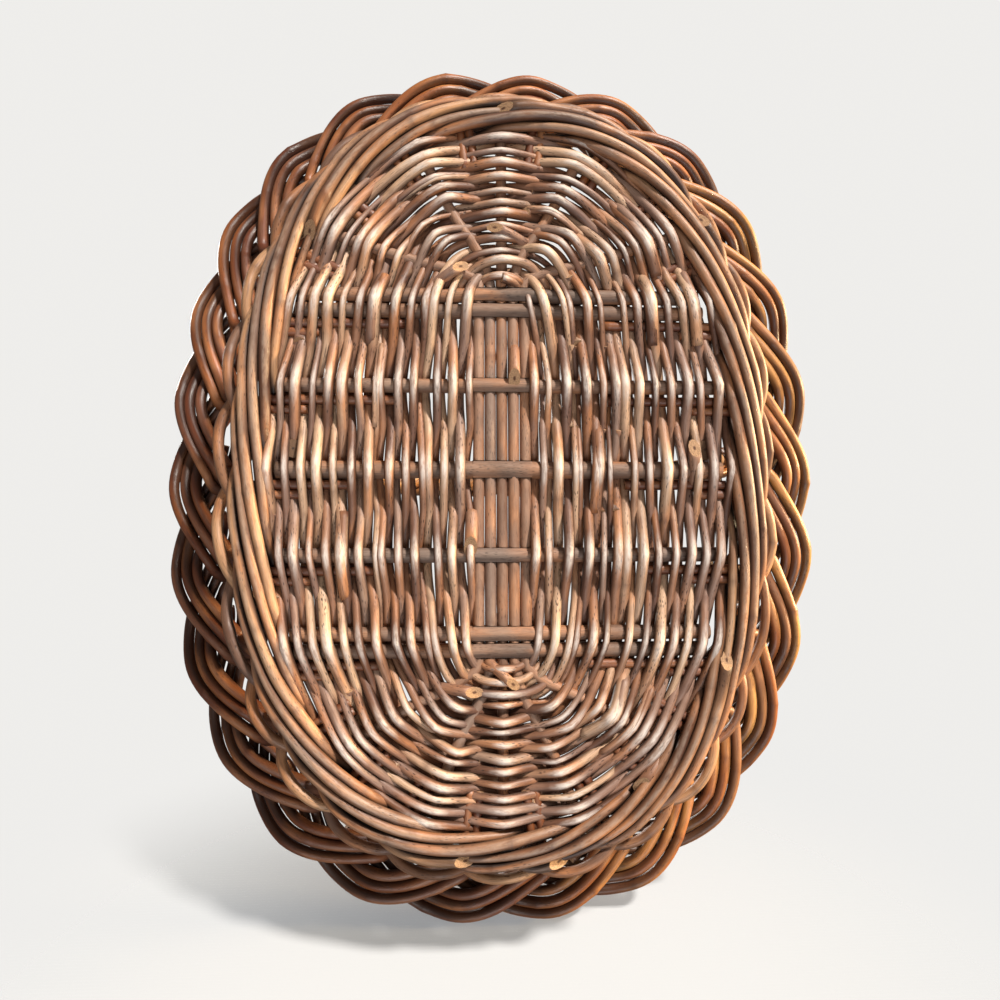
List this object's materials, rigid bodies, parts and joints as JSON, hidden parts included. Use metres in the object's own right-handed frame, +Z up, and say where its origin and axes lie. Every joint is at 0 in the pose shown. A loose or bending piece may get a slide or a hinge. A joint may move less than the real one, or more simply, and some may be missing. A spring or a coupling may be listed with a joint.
{
  "type": "gathering basket",
  "caption": "Shallow oval willow gathering basket with a woven stick base, open staked sides, a rolled border and a roped bow handle.",
  "frame": {"origin": "middle of the underside, on the surface that the basket stands on", "axes": "+X along the basket's length, +Y across it, +Z up from the base to the handle"},
  "size_m": [0.4384, 0.3318, 0.1899],
  "materials": {
    "stick": "dry willow bark, dull",
    "long_stick": "dry willow bark, dull",
    "stake": "buff willow, faint sheen",
    "weaver": "worn willow, dull",
    "wale": "buff willow, faint sheen",
    "bow": "willow bark, faint sheen",
    "roping": "buff willow, faint sheen"
  },
  "bodies": {
    "root": {"cross_stick_1": "stick", "cross_stick_2": "stick", "cross_stick_3": "stick", "cross_stick_4": "stick", "cross_stick_5": "stick", "cross_stick_6": "stick", "cross_stick_7": "stick", "long_stick_1": "long_stick", "long_stick_2": "long_stick", "long_stick_3": "long_stick", "long_stick_4": "long_stick", "long_stick_5": "long_stick", "border_stake_01": "stake", "border_stake_02": "stake", "border_stake_03": "stake", "border_stake_04": "stake", "border_stake_05": "stake", "border_stake_06": "stake", "border_stake_07": "stake", "border_stake_08": "stake", "border_stake_09": "stake", "border_stake_10": "stake", "border_stake_11": "stake", "border_stake_12": "stake", "border_stake_13": "stake", "border_stake_14": "stake", "border_stake_15": "stake", "border_stake_16": "stake", "border_stake_17": "stake", "border_stake_18": "stake", "border_stake_19": "stake", "border_stake_20": "stake", "border_stake_21": "stake", "border_stake_22": "stake", "border_stake_23": "stake", "border_stake_24": "stake", "border_stake_25": "stake", "border_stake_26": "stake", "base_weave": "weaver", "upsett_rod_1": "wale", "upsett_rod_2": "wale", "upsett_rod_3": "wale", "wale_rod_1": "wale", "wale_rod_2": "wale", "wale_rod_3": "wale", "handle_bow": "bow", "handle_roping_1": "roping", "handle_roping_2": "roping", "handle_roping_3": "roping"}
  },
  "joints": []
}
